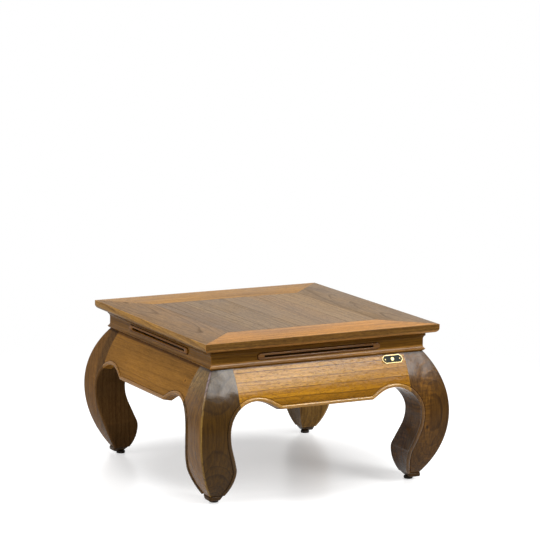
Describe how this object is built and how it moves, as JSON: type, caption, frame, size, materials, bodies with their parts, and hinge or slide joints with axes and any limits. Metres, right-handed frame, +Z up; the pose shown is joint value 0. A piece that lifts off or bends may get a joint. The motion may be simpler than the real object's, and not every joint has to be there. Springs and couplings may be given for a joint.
{
  "type": "low table",
  "caption": "Square low table of varnished wood: mitred frame-and-panel top, moulded waist, swelling beaded aprons with cusped arches, and curved legs that turn in to small feet.",
  "frame": {"origin": "on the floor, under the middle of the table", "axes": "+X to the right along the front, +Y from the front to the back, +Z up; the front is the side with the small plate"},
  "size_m": [0.6464, 0.6464, 0.37],
  "materials": {
    "panel_wood": "satin varnish, greyish brown, grain along Y",
    "front_rail_wood": "satin varnish, warm tan, grain along X",
    "side_rail_wood": "satin varnish, greyish brown, grain along Y",
    "waist_wood": "satin varnish, mid brown",
    "apron_wood": "satin varnish, golden brown with dark grain lines",
    "leg_wood": "satin varnish, dark brown",
    "inner_wood": "planed, unvarnished",
    "plate_brass": "polished, dark enamel in the sunk field",
    "screw_steel": "zinc plated",
    "glide_plastic": "black, moulded"
  },
  "bodies": {
    "root": {"top_rail_front": "front_rail_wood", "top_rail_right": "side_rail_wood", "top_rail_back": "front_rail_wood", "top_rail_left": "side_rail_wood", "panel_board_1": "panel_wood", "panel_board_2": "panel_wood", "panel_board_3": "panel_wood", "panel_board_4": "panel_wood", "panel_board_5": "panel_wood", "panel_board_6": "panel_wood", "panel_board_7": "panel_wood", "panel_board_8": "panel_wood", "batten_front": "inner_wood", "batten_back": "inner_wood", "waist_front": "waist_wood", "waist_right": "waist_wood", "waist_back": "waist_wood", "waist_left": "waist_wood", "oval_moulding_front": "waist_wood", "oval_moulding_right": "waist_wood", "oval_moulding_back": "waist_wood", "oval_moulding_left": "waist_wood", "apron_front": "apron_wood", "apron_right": "apron_wood", "apron_back": "apron_wood", "apron_left": "apron_wood", "leg_front_right": "leg_wood", "leg_back_right": "leg_wood", "leg_back_left": "leg_wood", "leg_front_left": "leg_wood", "foot_pad_front_right": "leg_wood", "foot_pad_back_right": "leg_wood", "foot_pad_back_left": "leg_wood", "foot_pad_front_left": "leg_wood", "glide_front_right": "glide_plastic", "glide_back_right": "glide_plastic", "glide_back_left": "glide_plastic", "glide_front_left": "glide_plastic", "fixing_block_front": "inner_wood", "fixing_block_right": "inner_wood", "fixing_block_back": "inner_wood", "fixing_block_left": "inner_wood", "top_screw_front_a": "screw_steel", "top_screw_front_b": "screw_steel", "top_screw_right_a": "screw_steel", "top_screw_right_b": "screw_steel", "top_screw_back_a": "screw_steel", "top_screw_back_b": "screw_steel", "top_screw_left_a": "screw_steel", "top_screw_left_b": "screw_steel", "waist_screw_front": "screw_steel", "waist_screw_right": "screw_steel", "waist_screw_back": "screw_steel", "waist_screw_left": "screw_steel", "plate": "plate_brass", "plate_pin_left": "plate_brass", "plate_pin_right": "plate_brass"}
  },
  "joints": []
}
